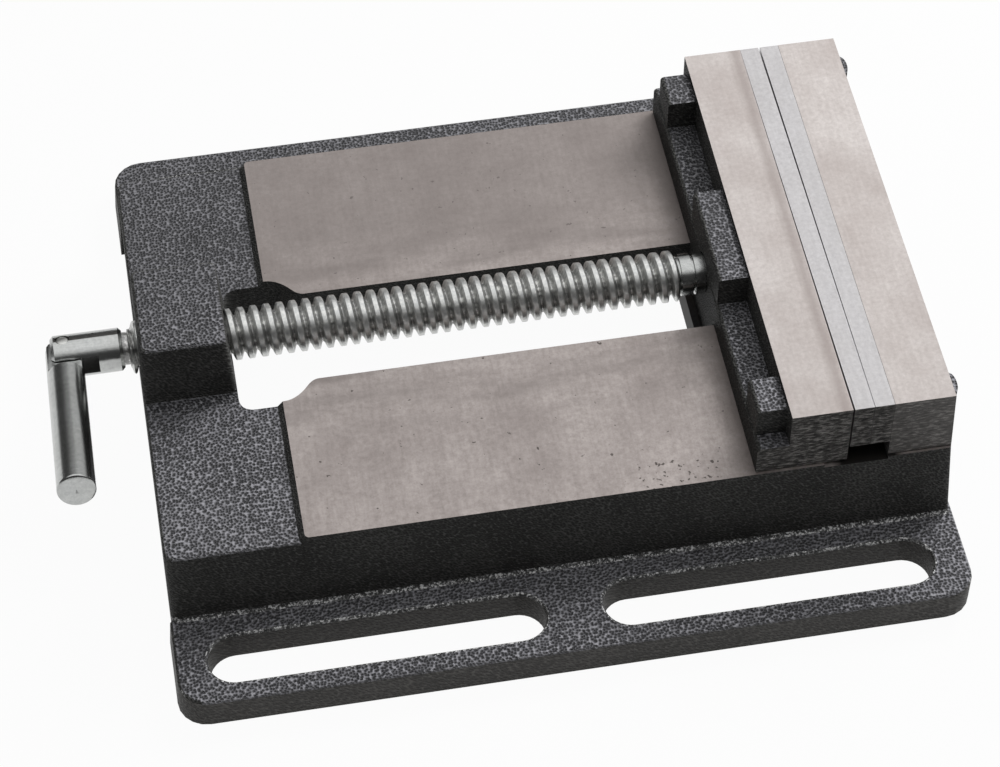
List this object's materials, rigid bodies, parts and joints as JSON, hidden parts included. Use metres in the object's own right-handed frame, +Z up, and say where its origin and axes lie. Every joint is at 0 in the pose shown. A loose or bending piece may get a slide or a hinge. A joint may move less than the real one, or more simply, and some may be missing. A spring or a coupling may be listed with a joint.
{
  "type": "drill press vise",
  "caption": "Drill press vise: slotted cast base with machined ways, fixed jaw, moving jaw driven by a trapezoidal screw, and a short folding handle.",
  "frame": {"origin": "centre of the bounding box in X and Y, on the table plane that the base stands on (Z = 0), with the jaws closed and the handle turned to the front", "axes": "+X along the screw from the handle to the fixed jaw, +Y across the jaws away from the side the handle points to, +Z up"},
  "size_m": [0.2646, 0.218, 0.0631],
  "materials": {
    "painted_casting": "dark grey hammertone paint on rough iron, with the ways, jaw tops and jaw ends machined bare",
    "ground_plate": "ground",
    "dark_steel": "black oxide",
    "zinc_steel": "bright zinc plated",
    "bright_steel": "turned and bright zinc plated"
  },
  "bodies": {
    "base": {"base_casting": "painted_casting", "fixed_jaw_plate": "ground_plate", "fixed_plate_screw_near": "dark_steel", "fixed_plate_screw_far": "dark_steel"},
    "moving_jaw": {"moving_jaw_casting": "painted_casting", "moving_jaw_plate": "ground_plate", "keeper_plate": "dark_steel", "moving_plate_screw_near": "dark_steel", "retaining_pin_near": "zinc_steel", "keeper_washer_near": "zinc_steel", "keeper_lock_washer_near": "dark_steel", "keeper_bolt_near": "zinc_steel", "moving_plate_screw_far": "dark_steel", "retaining_pin_far": "zinc_steel", "keeper_washer_far": "zinc_steel", "keeper_lock_washer_far": "dark_steel", "keeper_bolt_far": "zinc_steel"},
    "screw": {"screw_spindle": "bright_steel"},
    "handle": {"handle_pin": "bright_steel", "handle_rod": "bright_steel"}
  },
  "joints": [
    {"name": "jaw_slide", "type": "slide", "parent": "base", "child": "moving_jaw", "axis": [-1, 0, 0], "range_m": [0, 0.132]},
    {"name": "screw_turn", "type": "hinge", "parent": "moving_jaw", "child": "screw", "pos_m": [-0.10437, 0, 0.0446], "axis": [-1, 0, 0], "range_deg": [0, 11880]},
    {"name": "handle_fold", "type": "hinge", "parent": "screw", "child": "handle", "pos_m": [-0.12662, 0, 0.0446], "axis": [0, -0.2079, -0.9781], "range_deg": [0, 180]}
  ],
  "couplings": [
    {"joint": "jaw_slide", "follows": "screw_turn", "m_per_rad": 0.00063662}
  ]
}
